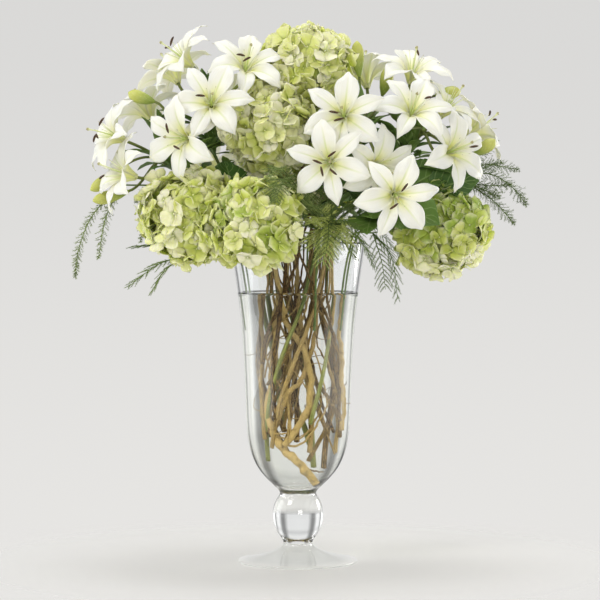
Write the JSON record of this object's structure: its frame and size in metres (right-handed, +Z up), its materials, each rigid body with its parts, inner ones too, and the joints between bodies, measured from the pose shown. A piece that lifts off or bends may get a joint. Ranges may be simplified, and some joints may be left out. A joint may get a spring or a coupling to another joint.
{
  "type": "lilies in a vase",
  "caption": "Tall footed bell-shaped glass vase full of water, holding a wide spray of open white lilies with buds, green hydrangea heads, dark leaves and feathery fern.",
  "frame": {"origin": "centre of the underside of the vase's foot, where it stands on a surface", "axes": "+Z up along the vase's axis, -Y towards the front that the picture shows, +X to its right"},
  "size_m": [0.6767, 0.4541, 0.8052],
  "materials": {
    "glass": "gloss",
    "water": "gloss",
    "petal": "satin",
    "lily_green": "satin",
    "floret": "matte",
    "wood": "matte",
    "fern": "matte"
  },
  "bodies": {
    "root": {"vase": "glass", "water": "water", "lily_stem_left_high": "lily_green", "lily_stem_left_low": "lily_green", "lily_stem_front": "lily_green", "lily_stem_right": "lily_green", "lily_stem_back": "lily_green", "hydrangea_top_stem": "wood", "hydrangea_middle_stem": "wood", "hydrangea_left_stem": "wood", "hydrangea_front_stem": "wood", "hydrangea_right_stem": "wood", "hydrangea_back_stem": "wood", "bloom_left_1": "petal", "bloom_left_2": "petal", "bloom_left_3": "petal", "bloom_left_4": "petal", "bloom_left_5": "petal", "bloom_left_6": "petal", "bloom_left_7": "petal", "bloom_left_8": "petal", "bloom_right_1": "petal", "bloom_right_2": "petal", "bloom_right_3": "petal", "bloom_right_4": "petal", "bloom_right_5": "petal", "bloom_right_6": "petal", "bloom_right_7": "petal", "bloom_right_8": "petal", "bloom_right_9": "petal", "bloom_right_10": "petal", "bloom_back_1": "petal", "bloom_back_2": "petal", "bloom_back_3": "petal", "hydrangea_top": "floret", "hydrangea_middle": "floret", "hydrangea_left": "floret", "hydrangea_front": "floret", "hydrangea_right": "floret", "hydrangea_back": "floret", "fern_left_long": "fern", "fern_left_low": "fern", "fern_front": "fern", "fern_right_low": "fern", "fern_right_long": "fern", "fern_back": "fern"}
  },
  "joints": []
}
